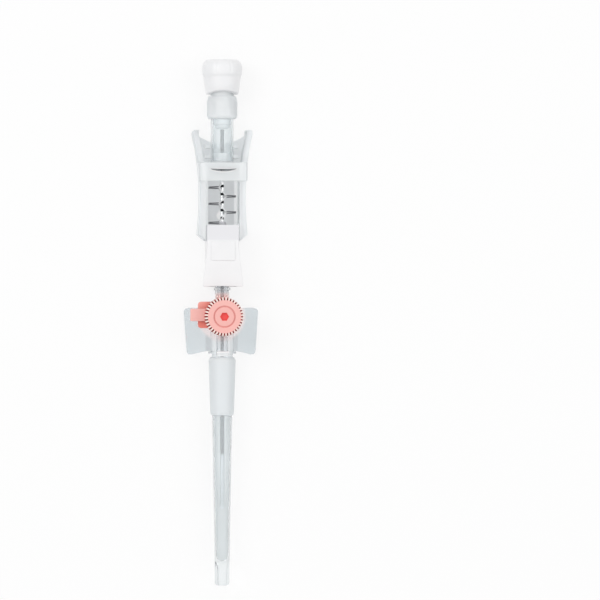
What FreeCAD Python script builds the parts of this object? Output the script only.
import FreeCAD, Part
import math
import os
from types import SimpleNamespace

import Sketcher

# A ported, winged safety IV cannula that lies on its wings and its grip housing.
# X runs across the wings, Y along the needle towards the rear, Z up.
# The origin is under the middle of the whole length, on the surface it rests on.

DIMENSIONS = {
    # Lengths along the needle, from the tip of the needle cover to the luer cap
    "cover_length": 57.0,
    "cover_gap": 0.9,
    "port_from_flange": 9.2,
    "barrel_behind_port": 4.9,
    "neck_length": 4.0,
    "luer_length": 7.0,
    "shield_lap": 8.4,
    "shield_length": 15.4,
    "ready_reach": 2.1,
    "pull_back": 13.5,
    "housing_length": 27.6,
    "chamber_from_housing": 19.9,
    "chamber_length": 10.5,
    "plug_body_length": 6.1,
    "luer_cap_length": 8.7,
    # Height of the needle above the surface, and shared clearances
    "axis_height": 5.1,
    "slip_fit": 0.05,
    "close_fit": 0.02,
    "slide_gap": 0.1,
    # Needle and catheter
    "needle_radius": 0.435,
    "needle_wall": 0.12,
    "needle_length": 81.25,
    "bevel_length": 2.2,
    "catheter_length": 32.0,
    "catheter_wall": 0.09,
    "catheter_tip_taper": 2.0,
    "flare_start": 3.0,
    "flare_length": 2.0,
    "flare_rise": 0.5,
    "wedge_bore": 0.5,
    "wedge_rim_radius": 1.2,
    "wedge_rim": 0.4,
    # Catheter hub
    "nose_length": 6.6,
    "nose_radius": 0.95,
    "nose_plug_length": 3.4,
    "nose_plug_radius": 2.6,
    "flange_radius": 3.5,
    "flange_thickness": 0.5,
    "barrel_radius": 2.9,
    "barrel_taper": 1.0,
    "neck_radius": 1.75,
    "neck_ring_radius": 2.05,
    "neck_ring_width": 0.6,
    "luer_radius": 3.0,
    "luer_bore_front": 2.0,
    "luer_bore_rear": 2.15,
    "lug_reach": 3.4,
    "lug_length": 1.2,
    "lug_height": 2.4,
    "lumen_radius": 1.2,
    "valve_radius": 1.55,
    "valve_bore": 1.0,
    "valve_length": 6.4,
    # Wings
    "wing_span": 18.8,
    "wing_root_half": 1.5,
    "wing_root_drop": 0.9,
    "wing_thickness": 1.1,
    "wing_tip_thickness": 0.9,
    "wing_foot_width": 0.8,
    "wing_corner": 1.0,
    "wing_behind_port": 2.2,
    # Port tower and cap
    "tower_radius": 2.6,
    "tower_top": 6.3,
    "port_bore": 1.7,
    "cap_radius": 4.8,
    "cap_bottom": 5.0,
    "cap_top": 9.0,
    "cap_cavity_radius": 3.6,
    "cap_plug_radius": 1.35,
    "cap_edge": 0.4,
    "knurl_depth": 0.7,
    "knurl_width": 0.34,
    "knurl_base": 0.7,
    "face_groove_radius": 2.4,
    "face_groove_width": 0.32,
    "face_groove_depth": 0.3,
    "socket_radius": 1.0,
    "socket_depth": 1.1,
    "strap_width": 3.1,
    "strap_thickness": 0.6,
    "strap_offset": 0.45,
    "hinge_reach": 8.25,
    "collar_radius": 4.2,
    "collar_height": 1.2,
    "collar_arm_half": 3.3,
    "collar_arm_reach": 6.3,
    "strap_post": 0.5,
    # Needle cover
    "cover_end_radius": 1.83,
    "cover_tube_radius": 2.5,
    "cover_wall": 0.45,
    "cover_end_length": 6.0,
    "cover_collar_length": 14.5,
    "cover_collar_front": 2.95,
    "cover_collar_rear": 3.4,
    "cover_collar_wall": 0.5,
    "cover_grip_width": 0.5,
    "cover_grip_depth": 0.25,
    "cover_grip_pitch": 1.4,
    # Tip shield and what it holds
    "shield_half_width": 4.0,
    "shield_top": 3.75,
    "shield_bottom": 4.2,
    "rail_thickness": 0.85,
    "rail_front_half": 5.05,
    "rail_middle_half": 4.4,
    "panel_length": 4.9,
    "panel_rise": 0.25,
    "panel_width": 6.0,
    "shield_wall": 0.5,
    "partition": 0.7,
    "needle_hole": 0.6,
    "arch_depth": 0.9,
    "washer_radius": 1.9,
    "washer_thickness": 0.3,
    "insert_length": 2.7,
    "insert_boss_radius": 1.0,
    "clip_thickness": 0.2,
    "clip_half_width": 1.8,
    "clip_length": 1.8,
    "clip_height": 2.0,
    # Tether
    "tether_half_width": 3.3,
    "tether_thickness": 0.3,
    "tether_height": 5.0,
    "tether_hole": 1.35,
    # Grip housing
    "housing_floor": 0.8,
    "housing_wall_top": 2.6,
    "channel_half": 4.1,
    "rear_wall": 1.5,
    "nose_half": 4.3,
    "front_half": 6.2,
    "waist_half": 5.66,
    "grip_half": 6.6,
    "flare_half": 7.45,
    "rear_notch": 3.2,
    "lip_height": 0.9,
    "lip_reach": 0.9,
    "band_from_front": 14.85,
    "band_length": 4.65,
    "band_half": 6.05,
    "band_underside": 4.3,
    "band_thickness": 0.8,
    "slot_half": 3.3,
    "slot_width": 0.45,
    "rib_thickness": 0.8,
    # Flash chamber, vent plug and luer cap
    "chamber_radius": 2.83,
    "chamber_wall": 0.58,
    "needle_hub_plug": 2.0,
    "plug_nose_radius": 1.8,
    "plug_nose_length": 2.5,
    "plug_fit_length": 1.4,
    "plug_radius": 3.8,
    "plug_neck_radius": 3.4,
    "plug_bore": 0.9,
    "spigot_radius": 2.9,
    "spigot_length": 4.6,
    "filter_radius": 1.75,
    "filter_thickness": 1.5,
    "luer_cap_rim": 4.0,
    "luer_cap_waist": 4.65,
    "luer_cap_radius": 5.05,
    "luer_cap_groove": 0.5,
}

KNURLS = 36
COVER_GRIPS = 3
CAP_GROOVES = 8
PLUG_RECESSES = 4
TETHER_FOLDS = 8


class Size:
    """A length, and the text of the expression that binds it to the sheet."""

    def __init__(self, text, value):
        self.text = text
        self.value = value

    def __add__(self, other):
        other = as_size(other)
        return Size(f"({self.text} + {other.text})", self.value + other.value)

    def __sub__(self, other):
        other = as_size(other)
        return Size(f"({self.text} - {other.text})", self.value - other.value)

    def __mul__(self, other):
        other = as_size(other)
        return Size(f"({self.text} * {other.text})", self.value * other.value)

    def __truediv__(self, other):
        other = as_size(other)
        return Size(f"({self.text} / {other.text})", self.value / other.value)

    def __neg__(self):
        return Size(f"(0 - {self.text})", -self.value)

    __radd__ = __add__
    __rmul__ = __mul__


def as_size(value):
    if isinstance(value, Size):
        return value
    return Size(f"({float(value)})", float(value))


doc = FreeCAD.newDocument("IVCannula")
sheet = doc.addObject("Spreadsheet::Sheet", "Sizes")
for row, (name, value) in enumerate(DIMENSIONS.items(), start=1):
    sheet.set(f"A{row}", name)
    sheet.set(f"B{row}", str(value))
    sheet.setAlias(f"B{row}", name)
places = doc.addObject("App::VarSet", "Places")
doc.recompute()
d = SimpleNamespace(**{name: Size("Sizes." + name, value) for name, value in DIMENSIONS.items()})


def place(name, size):
    """Keeps a worked-out length under its own name, bound to the sizes that give it."""
    places.addProperty("App::PropertyFloat", name, "Places")
    places.setExpression(name, size.text)
    return Size("Places." + name, size.value)


# Stations along Y, worked out from the lengths
run_flange = d.cover_length + d.cover_gap
run_luer_end = run_flange + d.port_from_flange + d.barrel_behind_port + d.neck_length + d.luer_length
run_housing = run_luer_end - d.shield_lap - d.ready_reach + d.pull_back
run_plug = run_housing + d.chamber_from_housing + d.chamber_length
cover_tip = place("cover_tip", -(run_plug + d.plug_body_length + d.luer_cap_length) / 2)
cover_rear = place("cover_rear", cover_tip + d.cover_length)
flange_front = place("flange_front", cover_rear + d.cover_gap)
hub_nose = place("hub_nose", flange_front - d.nose_length)
catheter_tip = place("catheter_tip", hub_nose - d.catheter_length)
port = place("port", flange_front + d.port_from_flange)
barrel_rear = place("barrel_rear", port + d.barrel_behind_port)
luer_front = place("luer_front", barrel_rear + d.neck_length)
luer_rear = place("luer_rear", luer_front + d.luer_length)
shield_front = place("shield_front", luer_rear - d.shield_lap)
shield_rear = place("shield_rear", shield_front + d.shield_length)
housing_front = place("housing_front", shield_front - d.ready_reach + d.pull_back)
housing_rear = place("housing_rear", housing_front + d.housing_length)
chamber_front = place("chamber_front", housing_front + d.chamber_from_housing)
chamber_rear = place("chamber_rear", chamber_front + d.chamber_length)
luer_cap_front = place("luer_cap_front", chamber_rear + d.plug_body_length)
luer_cap_rear = place("luer_cap_rear", luer_cap_front + d.luer_cap_length)

# Radii that several pieces share
tube_bore = place("tube_bore", d.needle_radius + d.close_fit * 1.5)
tube_radius = place("tube_radius", tube_bore + d.catheter_wall)
chamber_bore = place("chamber_bore", d.chamber_radius - d.chamber_wall)
needle_rear = place("needle_rear", chamber_rear - d.plug_nose_length - d.slide_gap)
flare_front = place("flare_front", hub_nose + d.flare_start)
flare_rear = place("flare_rear", flare_front + d.flare_length)


def new_body(name, y=None):
    """Makes an empty body on the needle's axis, or over the given station along it."""
    body = doc.addObject("PartDesign::Body", name)
    body.Label = name
    body.setExpression("Placement.Base.z", d.axis_height.text)
    if y is not None:
        body.setExpression("Placement.Base.y", y.text)
    return body


def origin_item(body, role):
    return next(item for item in body.Origin.OriginFeatures if item.Role == role)


def draw(body, role, lift=None):
    """Starts a sketch on one of the body's own planes, lifted along the plane's normal."""
    sketch = body.newObject("Sketcher::SketchObject", body.Name + "_sketch")
    sketch.AttachmentSupport = (origin_item(body, role), [""])
    sketch.MapMode = "FlatFace"
    if lift is not None:
        sketch.setExpression("AttachmentOffset.Base.z", as_size(lift).text)
    return sketch


def tie(sketch, geometry, point, across, up):
    """Ties one point of the sketch to two sizes, measured from the sketch's origin."""
    for kind, size in (("DistanceX", as_size(across)), ("DistanceY", as_size(up))):
        number = sketch.addConstraint(Sketcher.Constraint(kind, -1, 1, geometry, point, size.value))
        sketch.setExpression(f"Constraints[{number}]", size.text)


def vector(point):
    return FreeCAD.Vector(as_size(point[0]).value, as_size(point[1]).value, 0)


def outline(sketch, *points):
    """Closes a line through the points. A point with a third entry ends an arc through it."""
    first = sketch.GeometryCount
    ends = []
    for number, point in enumerate(points):
        start = vector(points[number - 1])
        end = vector(point)
        if len(point) == 2:
            sketch.addGeometry(Part.LineSegment(start, end), False)
            ends.append((1, 2))
            continue
        middle = vector(point[2])
        sketch.addGeometry(Part.Arc(start, middle, end), False)
        turn = (middle - start).cross(end - middle).z
        ends.append((1, 2) if turn > 0 else (2, 1))
    for number, point in enumerate(points):
        following = (number + 1) % len(points)
        sketch.addConstraint(Sketcher.Constraint(
            "Coincident", first + number, ends[number][1], first + following, ends[following][0]))
        tie(sketch, first + number, ends[number][1], point[0], point[1])
    for number, point in enumerate(points):
        if len(point) == 3:
            marker = sketch.addGeometry(Part.Point(vector(point[2])), True)
            tie(sketch, marker, 1, *point[2])
            sketch.addConstraint(Sketcher.Constraint("PointOnObject", marker, 1, first + number))
    return sketch


def circle(sketch, across, up, radius):
    radius = as_size(radius)
    ring = Part.Circle(vector((across, up)), FreeCAD.Vector(0, 0, 1), radius.value)
    number = sketch.addGeometry(ring, False)
    tie(sketch, number, 3, across, up)
    constraint = sketch.addConstraint(Sketcher.Constraint("Radius", number, radius.value))
    sketch.setExpression(f"Constraints[{constraint}]", radius.text)
    return sketch


def box_outline(sketch, low, high):
    """Draws a rectangle from its low corner to its high corner."""
    return outline(sketch, (low[0], low[1]), (high[0], low[1]), (high[0], high[1]), (low[0], high[1]))


def feature(body, kind, sketch, length=None, reverse=False, both=False):
    """Adds a pad, pocket, revolution or groove of the sketch and makes it the body's tip."""
    item = body.newObject("PartDesign::" + kind, body.Name + "_" + kind.lower())
    item.Profile = sketch
    if kind in ("Revolution", "Groove"):
        item.ReferenceAxis = (sketch, ["V_Axis"])
        item.Angle = 360
    else:
        item.setExpression("Length", length.text)
        item.Reversed = reverse
        item.SideType = "Symmetric" if both else "One side"
    body.Tip = item
    return item


def polar(body, item, role, count):
    """Repeats a feature all the way round one of the body's axes."""
    doc.recompute()
    pattern = body.newObject("PartDesign::PolarPattern", body.Name + "_round")
    pattern.Originals = [item]
    pattern.Axis = (origin_item(body, role), [""])
    pattern.Angle = 360
    pattern.Occurrences = count
    body.Tip = pattern
    return pattern


def turned(name, *points):
    """Makes a round piece from its half section: each point is a radius and a station."""
    body = new_body(name)
    feature(body, "Revolution", outline(draw(body, "XY_Plane"), *points))
    return body


def mirrored_outline(*points):
    """Gives the right half's points, then the left half's in the opposite order."""
    left = []
    for number in range(len(points) - 1, -1, -1):
        x, y = points[number][:2]
        following = points[number + 1] if number + 1 < len(points) else None
        if following is not None and len(following) == 3:
            middle = following[2]
            left.append((-x, y, (-middle[0], middle[1])))
        else:
            left.append((-x, y))
    return [*points, *left]


def make_catheter_tube():
    tip_radius = tube_bore + d.catheter_wall / 3
    return turned(
        "catheter_tube",
        (tube_bore, catheter_tip),
        (tip_radius, catheter_tip),
        (tube_radius, catheter_tip + d.catheter_tip_taper),
        (tube_radius, flare_front),
        (tube_radius + d.flare_rise, flare_rear),
        (tube_bore + d.flare_rise, flare_rear),
        (tube_bore, flare_front),
    )


def make_catheter_wedge():
    """A funnel pressed into the flared end of the tube, with a rim behind it."""
    half_way = flare_front + d.flare_length / 2
    skin = tube_bore - d.close_fit
    return turned(
        "catheter_wedge",
        (d.wedge_bore, half_way),
        (skin + d.flare_rise / 2, half_way),
        (skin + d.flare_rise, flare_rear),
        (d.wedge_rim_radius, flare_rear + d.close_fit),
        (d.wedge_rim_radius, flare_rear + d.close_fit + d.wedge_rim),
        (d.wedge_rim_radius - d.wedge_rim / 2, flare_rear + d.close_fit + d.wedge_rim),
    )


def cut_hub_bore(body):
    tube_seat = tube_radius + d.close_fit
    rim_seat = d.wedge_rim_radius + d.close_fit
    rim_rear = flare_rear + d.wedge_rim + d.close_fit * 2
    valve_seat = d.valve_radius + d.slip_fit
    seat_half = d.valve_length / 2 + d.slide_gap
    bore = outline(
        draw(body, "XY_Plane"),
        (0, hub_nose - d.slide_gap),
        (tube_seat, hub_nose - d.slide_gap),
        (tube_seat, flare_front),
        (tube_seat + d.flare_rise, flare_rear),
        (rim_seat, flare_rear),
        (rim_seat, rim_rear),
        (d.lumen_radius, rim_rear + d.slide_gap),
        (d.lumen_radius, port - seat_half),
        (valve_seat, port - seat_half),
        (valve_seat, port + seat_half),
        (d.lumen_radius, port + seat_half),
        (d.lumen_radius, luer_front),
        (d.luer_bore_front, luer_front + d.barrel_taper),
        (d.luer_bore_rear, luer_rear + d.slide_gap),
        (0, luer_rear + d.slide_gap),
    )
    feature(body, "Groove", bore)


def add_wings(body):
    """Two plates that droop from the barrel until their tips rest on the surface."""
    half = d.wing_span / 2
    foot = half - d.wing_foot_width
    root_bottom = -(d.wing_root_drop + d.wing_thickness)
    front = flange_front - d.cover_gap / 2
    rear = port + d.wing_behind_port
    section = outline(
        draw(body, "XZ_Plane", -rear),
        (0, root_bottom),
        (foot, -d.axis_height),
        (half, -d.axis_height),
        (half, -d.axis_height + d.wing_tip_thickness),
        (0, -d.wing_root_drop),
        (-half, -d.axis_height + d.wing_tip_thickness),
        (-half, -d.axis_height),
        (-foot, -d.axis_height),
    )
    feature(body, "Pad", section, rear - front)
    trim = draw(body, "XY_Plane")
    margin = d.wing_span
    box_outline(trim, (-margin, front - margin), (margin, rear + margin))
    outline(trim, *mirrored_outline(
        (d.wing_root_half, front + d.wing_corner * 1.6),
        (half - d.wing_corner * 3.5, front + d.wing_corner * 0.5),
        (half - d.wing_corner * 2, front + d.slide_gap),
        (half - d.wing_corner, front + d.wing_corner * 0.5),
        (half - d.slide_gap, rear - d.wing_corner * 1.6),
        (half - d.wing_corner, rear - d.wing_corner * 0.4),
        (half - d.wing_corner * 3, rear - d.slide_gap),
        (d.wing_root_half, rear - d.wing_corner * 1.4),
    ))
    feature(body, "Pocket", trim, d.axis_height * 4, both=True)


def make_catheter_hub():
    body = new_body("catheter_hub")
    add_wings(body)
    flange_rear = flange_front + d.flange_thickness
    plug_front = flange_front - d.nose_plug_length
    ring_front = barrel_rear + d.neck_length / 2 - d.neck_ring_width / 2
    outside = outline(
        draw(body, "XY_Plane"),
        (0, hub_nose),
        (d.nose_radius, hub_nose),
        (d.nose_plug_radius, plug_front),
        (d.nose_plug_radius, flange_front),
        (d.flange_radius, flange_front),
        (d.flange_radius, flange_rear),
        (d.barrel_radius, flange_rear),
        (d.barrel_radius, barrel_rear),
        (d.neck_radius, barrel_rear + d.barrel_taper),
        (d.neck_radius, ring_front),
        (d.neck_ring_radius, ring_front),
        (d.neck_ring_radius, ring_front + d.neck_ring_width),
        (d.neck_radius, ring_front + d.neck_ring_width),
        (d.neck_radius, luer_front - d.barrel_taper / 2),
        (d.luer_radius, luer_front + d.barrel_taper / 2),
        (d.luer_radius, luer_rear),
        (0, luer_rear),
    )
    feature(body, "Revolution", outside)
    feature(body, "Pad", circle(draw(body, "XY_Plane"), 0, port, d.tower_radius), d.tower_top)
    lugs = box_outline(
        draw(body, "XY_Plane"),
        (-d.lug_reach, luer_rear - d.lug_length),
        (d.lug_reach, luer_rear),
    )
    feature(body, "Pad", lugs, d.lug_height, both=True)
    cut_hub_bore(body)
    feature(body, "Pocket", circle(draw(body, "XY_Plane", d.tower_top), 0, port, d.port_bore),
            d.tower_top - d.valve_bore)
    return body


def make_port_valve():
    half = d.valve_length / 2
    return turned(
        "port_valve",
        (d.valve_bore, port - half),
        (d.valve_radius, port - half),
        (d.valve_radius, port + half),
        (d.valve_bore, port + half),
    )


def make_port_cap():
    """A cap with a knurled rim, turned about the port's own axis, and half of its strap."""
    body = new_body("port_cap", port)
    ceiling = d.tower_top + d.cap_edge
    groove_in = d.face_groove_radius
    groove_out = groove_in + d.face_groove_width
    groove_floor = d.cap_top - d.face_groove_depth
    section = outline(
        draw(body, "XZ_Plane"),
        (d.cap_cavity_radius, d.cap_bottom),
        (d.cap_radius, d.cap_bottom),
        (d.cap_radius, d.cap_top - d.cap_edge),
        (d.cap_radius - d.cap_edge, d.cap_top),
        (groove_out, d.cap_top),
        (groove_out, groove_floor),
        (groove_in, groove_floor),
        (groove_in, d.cap_top),
        (d.socket_radius, d.cap_top),
        (d.socket_radius, d.cap_top - d.socket_depth),
        (0, d.cap_top - d.socket_depth),
        (0, d.cap_bottom),
        (d.cap_plug_radius, d.cap_bottom),
        (d.cap_plug_radius, ceiling),
        (d.cap_cavity_radius, ceiling),
    )
    feature(body, "Revolution", section)
    strap = box_outline(
        draw(body, "XY_Plane", d.cap_bottom),
        (-d.hinge_reach, d.strap_offset - d.strap_width / 2),
        (-(d.cap_radius - d.knurl_depth), d.strap_offset + d.strap_width / 2),
    )
    feature(body, "Pad", strap, d.strap_thickness)
    knurl = box_outline(
        draw(body, "XY_Plane", d.cap_top),
        (d.cap_radius - d.knurl_depth, -d.knurl_width / 2),
        (d.cap_radius + d.knurl_depth, d.knurl_width / 2),
    )
    slot = feature(body, "Pocket", knurl, d.cap_top - d.cap_bottom - d.knurl_base)
    polar(body, slot, "Z_Axis", KNURLS)
    return body


def make_cap_collar():
    """The ring that holds the cap's strap to the port tower."""
    body = new_body("cap_collar", port)
    bottom = d.barrel_radius + d.slide_gap
    ring = draw(body, "XY_Plane", bottom)
    circle(ring, 0, 0, d.collar_radius)
    circle(ring, 0, 0, d.tower_radius + d.slip_fit)
    feature(body, "Pad", ring, d.collar_height)
    arms = box_outline(
        draw(body, "XY_Plane", bottom),
        (-d.collar_arm_reach, d.strap_offset - d.collar_arm_half),
        (-(d.tower_radius + d.strap_post), d.strap_offset + d.collar_arm_half),
    )
    feature(body, "Pad", arms, d.collar_height)
    outer = -(d.hinge_reach - d.slide_gap)
    strap = box_outline(
        draw(body, "XY_Plane", bottom),
        (outer, d.strap_offset - d.strap_width / 2),
        (-(d.collar_arm_reach - d.strap_post), d.strap_offset + d.strap_width / 2),
    )
    feature(body, "Pad", strap, d.strap_thickness)
    post = box_outline(
        draw(body, "XY_Plane", bottom),
        (outer, d.strap_offset - d.strap_width / 2),
        (outer + d.strap_post, d.strap_offset + d.strap_width / 2),
    )
    feature(body, "Pad", post, d.cap_bottom - d.slide_gap - bottom)
    return body


def make_needle():
    """A steel tube with a bevel that faces up."""
    needle_tip = needle_rear - d.needle_length
    bore = d.needle_radius - d.needle_wall
    body = turned(
        "needle",
        (bore, needle_tip),
        (d.needle_radius, needle_tip),
        (d.needle_radius, needle_rear),
        (bore, needle_rear),
    )
    nub = d.needle_radius - d.needle_wall / 3
    bevel = outline(
        draw(body, "YZ_Plane"),
        (needle_tip - d.slide_gap, -nub),
        (needle_tip, -nub),
        (needle_tip + d.bevel_length, d.needle_radius + d.slide_gap),
        (needle_tip - d.slide_gap, d.needle_radius + d.slide_gap),
    )
    feature(body, "Pocket", bevel, d.needle_radius * 4, both=True)
    return body


def make_needle_hub():
    bore = d.needle_radius + d.close_fit
    plug = chamber_bore - d.slip_fit
    rim_front = chamber_front - d.flange_thickness
    return turned(
        "needle_hub",
        (bore, hub_cone_front),
        (d.needle_radius * 1.6, hub_cone_front),
        (d.lumen_radius, rim_front),
        (d.chamber_radius, rim_front),
        (d.chamber_radius, chamber_front),
        (plug, chamber_front),
        (plug, chamber_front + d.needle_hub_plug),
        (bore, chamber_front + d.needle_hub_plug),
    )


def make_flash_chamber():
    return turned(
        "flash_chamber",
        (chamber_bore, chamber_front),
        (d.chamber_radius, chamber_front),
        (d.chamber_radius, chamber_rear),
        (chamber_bore, chamber_rear),
    )


def make_vent_plug():
    """The plug behind the chamber: a nose in the chamber, a gripped body and a spigot."""
    nose_front = chamber_rear - d.plug_nose_length
    filter_front = chamber_rear + d.plug_fit_length * 2
    spigot_rear = luer_cap_front + d.spigot_length
    filter_seat = d.filter_radius + d.slip_fit
    plug_fit = chamber_bore - d.slip_fit
    body = turned(
        "vent_plug",
        (d.plug_bore, nose_front),
        (d.plug_nose_radius - d.cap_edge, nose_front),
        (d.plug_nose_radius, nose_front + d.cap_edge),
        (d.plug_nose_radius, chamber_rear - d.plug_fit_length),
        (plug_fit, chamber_rear - d.plug_fit_length),
        (plug_fit, chamber_rear),
        (d.plug_neck_radius, chamber_rear),
        (d.plug_radius, chamber_rear + d.cap_edge * 1.5),
        (d.plug_radius, luer_cap_front - d.plug_fit_length * 1.25),
        (d.plug_neck_radius, luer_cap_front - d.cap_edge),
        (d.spigot_radius, luer_cap_front - d.cap_edge),
        (d.spigot_radius, spigot_rear),
        (filter_seat, spigot_rear),
        (filter_seat, filter_front),
        (d.plug_bore, filter_front),
    )
    recess = draw(body, "XY_Plane")
    depth = d.plug_radius - d.cap_edge
    slant = math.radians(45)
    sketch_turn = FreeCAD.Rotation(FreeCAD.Vector(0, 1, 0), 45)
    recess.AttachmentOffset = FreeCAD.Placement(FreeCAD.Vector(0, 0, 0), sketch_turn)
    recess.setExpression("AttachmentOffset.Base.x", (depth * math.sin(slant)).text)
    recess.setExpression("AttachmentOffset.Base.z", (depth * math.cos(slant)).text)
    box_outline(
        recess,
        (-d.plug_fit_length, chamber_rear + d.barrel_taper),
        (d.plug_fit_length, luer_cap_front - d.barrel_taper * 2),
    )
    cut = feature(body, "Pocket", recess, d.plug_radius, reverse=True)
    polar(body, cut, "Y_Axis", PLUG_RECESSES)
    return body


def make_vent_filter():
    front = chamber_rear + d.plug_fit_length * 2
    return turned(
        "vent_filter",
        (0, front),
        (d.filter_radius, front),
        (d.filter_radius, front + d.filter_thickness),
        (0, front + d.filter_thickness),
    )


def make_luer_cap():
    bore = d.spigot_radius + d.slip_fit
    bore_end = luer_cap_front + d.spigot_length + d.cap_edge
    shoulder = luer_cap_front + d.luer_cap_length * 0.58
    ring_rear = luer_cap_rear - d.plug_fit_length
    body = turned(
        "luer_cap",
        (bore, luer_cap_front),
        (d.luer_cap_rim, luer_cap_front),
        (d.luer_cap_rim + d.cap_edge * 0.75, luer_cap_front + d.plug_fit_length),
        (d.luer_cap_waist, shoulder - d.cap_edge * 1.5),
        (d.luer_cap_radius - d.slide_gap, shoulder),
        (d.luer_cap_radius, ring_rear - d.plug_fit_length),
        (d.luer_cap_radius - d.slide_gap, ring_rear),
        (d.luer_cap_rim, luer_cap_rear, (d.luer_cap_waist, luer_cap_rear - d.cap_edge)),
        (0, luer_cap_rear),
        (0, bore_end),
        (bore, bore_end),
    )
    lift = d.luer_cap_radius - d.cap_edge * 0.75
    slant = math.radians(180 / CAP_GROOVES)
    groove = draw(body, "XY_Plane")
    sketch_turn = FreeCAD.Rotation(FreeCAD.Vector(0, 1, 0), 180 / CAP_GROOVES)
    groove.AttachmentOffset = FreeCAD.Placement(FreeCAD.Vector(0, 0, 0), sketch_turn)
    groove.setExpression("AttachmentOffset.Base.x", (lift * math.sin(slant)).text)
    groove.setExpression("AttachmentOffset.Base.z", (lift * math.cos(slant)).text)
    box_outline(
        groove,
        (-d.luer_cap_groove / 2, shoulder),
        (d.luer_cap_groove / 2, luer_cap_rear + d.slide_gap),
    )
    cut = feature(body, "Pocket", groove, d.luer_cap_waist, reverse=True)
    polar(body, cut, "Y_Axis", CAP_GROOVES)
    return body


shield_cavity_rear = place("shield_cavity_rear", luer_rear + d.shield_wall)
shield_pocket_front = place("shield_pocket_front", shield_cavity_rear + d.partition)
insert_front = place("insert_front", shield_pocket_front + d.washer_thickness + d.slide_gap)
insert_rear = place("insert_rear", insert_front + d.insert_length)
shield_cavity_half = place("shield_cavity_half", d.shield_half_width - d.shield_wall)
hub_cone_front = place("hub_cone_front", chamber_front - d.flange_thickness - d.barrel_taper)
boss_rear = place("boss_rear", hub_cone_front - d.pull_back - d.slide_gap)


def make_tip_shield():
    """A white box that the needle runs through, with rails over the housing's walls."""
    body = new_body("tip_shield")
    rail_bottom = d.shield_top - d.rail_thickness
    core = box_outline(
        draw(body, "XZ_Plane", -shield_rear),
        (-d.shield_half_width, -d.shield_bottom),
        (d.shield_half_width, d.shield_top),
    )
    feature(body, "Pad", core, d.shield_length)
    rails = outline(draw(body, "XY_Plane", rail_bottom), *mirrored_outline(
        (d.rail_front_half, shield_front),
        (d.rail_front_half - d.slide_gap * 2, shield_front + d.shield_length * 0.15),
        (d.rail_middle_half, shield_front + d.shield_length / 3),
        (d.shield_half_width, shield_front + d.shield_length * 0.65),
    ))
    feature(body, "Pad", rails, d.rail_thickness)
    panel_front = shield_front + d.shield_length * 0.42
    panel = box_outline(
        draw(body, "XY_Plane", d.shield_top),
        (-d.panel_width / 2, panel_front),
        (d.panel_width / 2, panel_front + d.panel_length),
    )
    feature(body, "Pad", panel, d.panel_rise)
    cavity = box_outline(
        draw(body, "XZ_Plane", -shield_front),
        (-shield_cavity_half, -(d.luer_radius + d.shield_wall)),
        (shield_cavity_half, d.luer_radius + d.slide_gap),
    )
    feature(body, "Pocket", cavity, shield_cavity_rear - shield_front)
    pocket = box_outline(
        draw(body, "XZ_Plane", -shield_rear),
        (-shield_cavity_half, -(d.shield_bottom - d.shield_wall)),
        (shield_cavity_half, rail_bottom),
    )
    feature(body, "Pocket", pocket, shield_rear - shield_pocket_front, reverse=True)
    hole = circle(draw(body, "XZ_Plane", -shield_rear), 0, 0, d.needle_hole)
    feature(body, "Pocket", hole, d.shield_length, reverse=True)
    arch = outline(
        draw(body, "XY_Plane", d.shield_top),
        (d.rail_middle_half, shield_front),
        (-d.rail_middle_half, shield_front, (0, shield_front + d.arch_depth)),
        (-d.rail_middle_half, shield_front - d.arch_depth),
        (d.rail_middle_half, shield_front - d.arch_depth),
    )
    feature(body, "Pocket", arch, d.rail_thickness)
    return body


def make_shield_washer():
    rear = shield_pocket_front + d.washer_thickness
    return turned(
        "shield_washer",
        (d.needle_hole, shield_pocket_front),
        (d.washer_radius, shield_pocket_front),
        (d.washer_radius, rear),
        (d.needle_hole, rear),
    )


def make_shield_insert():
    """The block behind the washer. It holds the clip, and its boss carries the tether."""
    body = new_body("shield_insert")
    clear = d.slip_fit
    block = box_outline(
        draw(body, "XZ_Plane", -insert_rear),
        (-(shield_cavity_half - clear), -(d.shield_bottom - d.shield_wall - clear)),
        (shield_cavity_half - clear, d.shield_top - d.rail_thickness - clear),
    )
    feature(body, "Pad", block, d.insert_length)
    boss = circle(draw(body, "XZ_Plane", -insert_rear), 0, 0, d.insert_boss_radius)
    feature(body, "Pad", boss, boss_rear - insert_rear, reverse=True)
    nest = box_outline(
        draw(body, "XZ_Plane", -insert_front),
        (-(d.clip_half_width + d.slide_gap), -(d.clip_height / 2 + d.slide_gap)),
        (d.clip_half_width + d.slide_gap, d.clip_height / 2 + d.slide_gap),
    )
    feature(body, "Pocket", nest, d.clip_length + d.slide_gap * 2)
    hole = circle(draw(body, "XZ_Plane", -insert_front), 0, 0, d.needle_hole)
    feature(body, "Pocket", hole, boss_rear - insert_front)
    return body


def make_shield_clip():
    """A bent steel strip whose two arms press on the needle."""
    body = new_body("shield_clip")
    front = insert_front + d.slide_gap
    rear = front + d.clip_length
    skin = d.clip_thickness
    near = d.needle_radius + d.slip_fit
    strip = outline(draw(body, "XY_Plane"), *mirrored_outline(
        (d.clip_half_width, front),
        (d.clip_half_width, front + skin * 2),
        (near + skin, rear),
        (near, rear),
        (d.clip_half_width - skin * 2, front + skin),
    ))
    feature(body, "Pad", strip, d.clip_height, both=True)
    hole = circle(draw(body, "XZ_Plane", -front), 0, 0, d.needle_hole)
    feature(body, "Pocket", hole, d.clip_thickness * 2, both=True)
    return body


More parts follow.
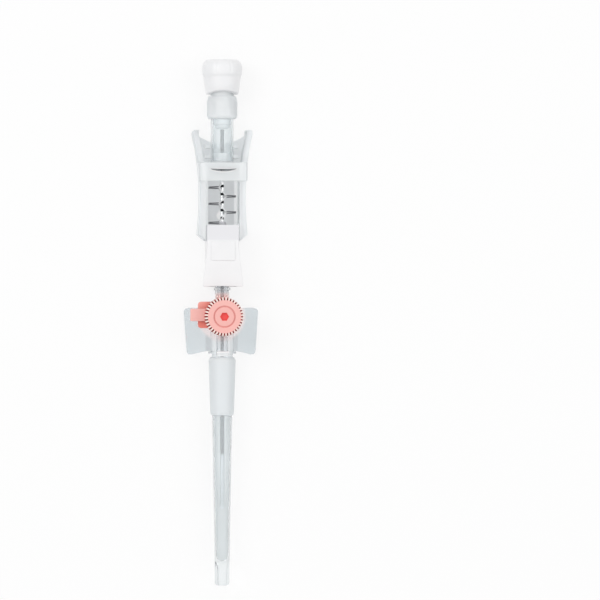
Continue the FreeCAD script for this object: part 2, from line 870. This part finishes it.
def make_tether():
    """A strip folded left and right, with a hole through every fold for the needle."""
    body = new_body("tether")
    front = insert_rear + d.tether_thickness * 2
    rear = chamber_front - d.flange_thickness - d.barrel_taper / 2
    pitch = (rear - front) / (TETHER_FOLDS - 1)
    inner = d.tether_half_width * (pitch - d.tether_thickness) / (pitch + d.tether_thickness)
    edge = d.tether_thickness / 2
    front_side = [(inner, front - edge)]
    rear_side = [(inner, front + edge)]
    for fold in range(1, TETHER_FOLDS - 1):
        station = front + pitch * fold
        if fold % 2:
            front_side.append((-d.tether_half_width, station))
            rear_side.append((-inner, station))
        else:
            front_side.append((inner, station))
            rear_side.append((d.tether_half_width, station))
    last = -inner if TETHER_FOLDS % 2 == 0 else inner
    front_side.append((last, rear - edge))
    rear_side.append((last, rear + edge))
    strip = outline(draw(body, "XY_Plane"), *front_side, *reversed(rear_side))
    feature(body, "Pad", strip, d.tether_height, both=True)
    hole = circle(draw(body, "XZ_Plane", -rear - d.tether_thickness), 0, 0, d.tether_hole)
    feature(body, "Pocket", hole, rear - front + d.tether_thickness * 2, reverse=True)
    return body


def housing_edge(inset):
    """The plan outline of the finger grips, moved inwards by the inset."""
    waist_end = housing_rear - d.shield_wall * 9.4
    waist_start = housing_front + d.partition * 2.3
    flare = housing_rear - d.housing_floor
    return mirrored_outline(
        (d.nose_half - inset, housing_front),
        (d.front_half - inset, waist_start),
        (d.grip_half - inset, waist_end, (d.waist_half - inset, (waist_start + waist_end) / 2)),
        (d.flare_half - inset, flare),
        (d.flare_half - inset - d.lip_reach / 4, housing_rear),
    )


def widen_rear_room(body):
    """Behind the band, the channel widens with the flared grips, so their walls are thin there."""
    band_rear = housing_front + d.band_from_front + d.band_length
    tip = d.flare_half - d.rear_wall - d.lip_reach / 4
    room = outline(draw(body, "XY_Plane", d.housing_wall_top), *mirrored_outline(
        (d.channel_half, band_rear + d.housing_floor / 2),
        (d.grip_half - d.rear_wall, housing_rear - d.shield_wall * 9.4),
        (d.flare_half - d.rear_wall, housing_rear - d.housing_floor),
        (tip, housing_rear),
        (tip, housing_rear + d.rear_notch),
    ))
    feature(body, "Pocket", room, d.housing_wall_top + d.axis_height - d.housing_floor)


def add_housing_band(body):
    """The band that bridges the channel over the folded tether, with its crescent slot."""
    band_rear = housing_front + d.band_from_front + d.band_length
    top = d.band_underside + d.band_thickness
    foot = d.housing_wall_top - d.band_thickness / 4
    section = outline(draw(body, "XZ_Plane", -band_rear), *mirrored_outline(
        (d.channel_half, d.band_underside),
        (d.channel_half, foot),
        (d.band_half - d.slide_gap, foot),
        (d.band_half, top - d.cap_edge),
        (d.band_half - d.cap_edge, top),
    ))
    feature(body, "Pad", section, d.band_length)
    slot_side = band_rear - d.band_length * 0.38
    slot_middle = slot_side - d.slot_width
    slot = outline(
        draw(body, "XY_Plane", top),
        (-d.slot_half, slot_side),
        (d.slot_half, slot_side, (0, slot_middle)),
        (d.slot_half, slot_side + d.slot_width),
        (-d.slot_half, slot_side + d.slot_width, (0, slot_middle + d.slot_width)),
    )
    feature(body, "Pocket", slot, d.band_thickness + d.slide_gap)


def add_housing_ribs(body):
    """Two ribs across the floor, hollowed to carry the flash chamber."""
    for station in (chamber_front + d.rib_thickness * 2, housing_rear - d.rear_notch - d.rib_thickness / 2):
        rib = box_outline(
            draw(body, "XZ_Plane", -station),
            (-d.channel_half - d.slide_gap, -(d.axis_height - d.housing_floor / 2)),
            (d.channel_half + d.slide_gap, -d.housing_floor),
        )
        feature(body, "Pad", rib, d.rib_thickness)
    seat = circle(draw(body, "XZ_Plane", -housing_rear), 0, 0, d.chamber_radius + d.slip_fit)
    feature(body, "Pocket", seat, d.chamber_from_housing, reverse=True)


def make_grip_housing():
    body = new_body("grip_housing")
    block = outline(draw(body, "XY_Plane", -d.axis_height), *housing_edge(as_size(0)))
    feature(body, "Pad", block, d.axis_height + d.housing_wall_top)
    margin = d.housing_length
    channel = box_outline(
        draw(body, "XY_Plane", d.housing_wall_top),
        (-d.channel_half, housing_front - margin),
        (d.channel_half, housing_rear + margin),
    )
    feature(body, "Pocket", channel, d.housing_wall_top + d.axis_height - d.housing_floor)
    grips = draw(body, "XY_Plane", d.housing_wall_top - d.lip_height)
    box_outline(grips, (-margin, housing_front - margin), (margin, housing_rear + margin))
    outline(grips, *housing_edge(d.lip_reach))
    feature(body, "Pocket", grips, d.housing_wall_top - d.lip_height * 2 + d.axis_height - d.housing_floor)
    notch = outline(
        draw(body, "XY_Plane", -d.axis_height + d.housing_floor),
        (d.flare_half, housing_rear),
        (-d.flare_half, housing_rear, (0, housing_rear - d.rear_notch)),
        (-d.flare_half, housing_rear + d.rear_notch),
        (d.flare_half, housing_rear + d.rear_notch),
    )
    feature(body, "Pocket", notch, d.axis_height)
    widen_rear_room(body)
    add_housing_band(body)
    add_housing_ribs(body)
    return body


def make_needle_cover():
    body = new_body("needle_cover")
    end = cover_tip + d.cover_end_length
    collar = cover_rear - d.cover_collar_length
    tip_bore = d.cover_end_radius - d.cover_wall
    tube_rear_bore = d.cover_tube_radius - d.cover_wall
    fit_bore = d.nose_plug_radius + d.slip_fit
    fit_front = cover_rear - d.nose_plug_length - d.cover_gap
    edge = d.cap_edge * 2
    section = outline(
        draw(body, "XY_Plane"),
        (0, cover_tip),
        (d.cover_end_radius - d.cap_edge / 2, cover_tip),
        (d.cover_end_radius, cover_tip + d.cap_edge / 2),
        (d.cover_end_radius, end),
        (d.cover_tube_radius, collar),
        (d.cover_collar_front - d.cap_edge / 2, collar),
        (d.cover_collar_front, collar + d.cap_edge),
        (d.cover_collar_rear, cover_rear - edge),
        (fit_bore + d.cap_edge / 2, cover_rear),
        (fit_bore, cover_rear),
        (fit_bore, fit_front),
        (d.cover_collar_front - d.cover_collar_wall, collar + edge * 2),
        (tube_rear_bore, collar),
        (tip_bore, end + tip_bore * 0.8),
        (tip_bore * 0.7, end + tip_bore * 0.2),
        (0, end),
    )
    feature(body, "Revolution", section)
    groove_front = cover_tip + d.cover_grip_pitch
    groove = box_outline(
        draw(body, "XY_Plane"),
        (d.cover_end_radius - d.cover_grip_depth, groove_front),
        (d.cover_end_radius + d.cover_grip_depth, groove_front + d.cover_grip_width),
    )
    cut = feature(body, "Groove", groove)
    doc.recompute()
    rings = body.newObject("PartDesign::LinearPattern", "needle_cover_rings")
    rings.Originals = [cut]
    rings.Direction = (origin_item(body, "Y_Axis"), [""])
    rings.setExpression("Length", (d.cover_grip_pitch * (COVER_GRIPS - 1)).text)
    rings.Occurrences = COVER_GRIPS
    body.Tip = rings
    return body


def check(bodies):
    """Stops if any object failed, any cut took nothing away or any piece isn't one solid."""
    for item in doc.Objects:
        if "Invalid" in item.State or "Error" in item.State:
            raise RuntimeError(f"{item.Name} failed: {item.State}")
        if item.TypeId in ("PartDesign::Pocket", "PartDesign::Groove"):
            if item.Shape.Volume >= item.BaseFeature.Shape.Volume:
                raise RuntimeError(f"{item.Name} cuts nothing")
    for body in bodies:
        if body.Shape.isNull() or not body.Shape.isValid() or len(body.Shape.Solids) != 1:
            raise RuntimeError(f"{body.Label} isn't one valid solid")


pieces = [
    make_catheter_tube(),
    make_catheter_wedge(),
    make_catheter_hub(),
    make_port_valve(),
    make_port_cap(),
    make_cap_collar(),
    make_needle(),
    make_needle_hub(),
    make_grip_housing(),
    make_flash_chamber(),
    make_vent_plug(),
    make_vent_filter(),
    make_luer_cap(),
    make_tip_shield(),
    make_shield_insert(),
    make_shield_clip(),
    make_shield_washer(),
    make_tether(),
    make_needle_cover(),
]
doc.recompute()
check(pieces)
os.makedirs("parts", exist_ok=True)
for piece in pieces:
    piece.Shape.exportStep(f"parts/{piece.Label}.step")
    box = piece.Shape.BoundBox
    print(f"{piece.Label}: {piece.Shape.Volume:.1f} mm3, x {box.XMin:.2f} to {box.XMax:.2f}, "
          f"y {box.YMin:.2f} to {box.YMax:.2f}, z {box.ZMin:.2f} to {box.ZMax:.2f}")
